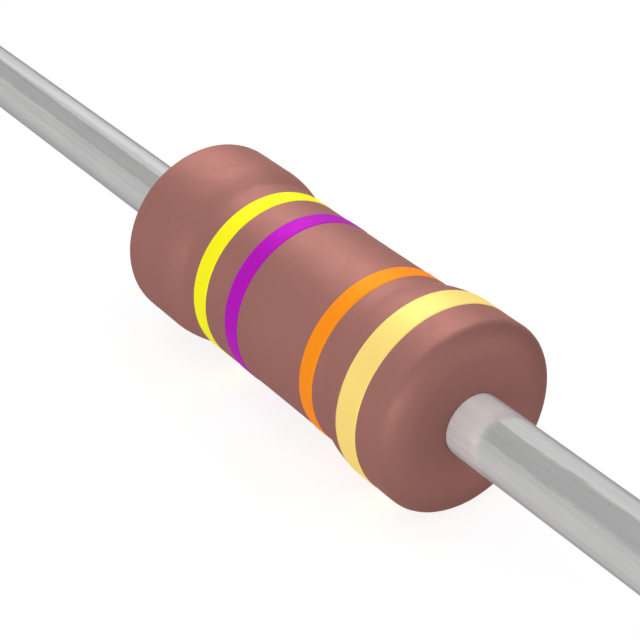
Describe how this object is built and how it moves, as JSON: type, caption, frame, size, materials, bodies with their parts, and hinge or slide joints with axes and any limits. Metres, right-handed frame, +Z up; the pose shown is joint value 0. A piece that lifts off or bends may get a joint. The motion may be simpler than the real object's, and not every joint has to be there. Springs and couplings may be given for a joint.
{
  "type": "axial resistor",
  "caption": "Axial film resistor: brown lacquered body with thick ends and a slimmer waist, four colour bands, and a straight tinned lead out of each end.",
  "frame": {"origin": "middle of the body, on its axis", "axes": "+X along the body and the leads, towards the end with the tolerance band; +Z up, and the part is round about X"},
  "size_m": [0.026, 0.0016, 0.0016],
  "materials": {
    "ceramic": "fired, unglazed, off-white",
    "metal_film": "dark deposited metal film",
    "cap_steel": "drawn and plated sheet steel",
    "tinned_wire": "drawn wire with a satin tin plating and faint lines along it",
    "lacquer": "satin reddish-brown epoxy lacquer",
    "paint_yellow": "satin yellow marking paint",
    "paint_violet": "satin violet marking paint",
    "paint_orange": "satin orange marking paint",
    "paint_gold": "satin pale gold marking paint"
  },
  "bodies": {
    "root": {"ceramic_rod": "ceramic", "resistive_film": "metal_film", "cap_left": "cap_steel", "cap_right": "cap_steel", "lead_left": "tinned_wire", "lead_right": "tinned_wire", "lacquer_coat": "lacquer", "band_first_digit": "paint_yellow", "band_second_digit": "paint_violet", "band_multiplier": "paint_orange", "band_tolerance": "paint_gold"}
  },
  "joints": []
}
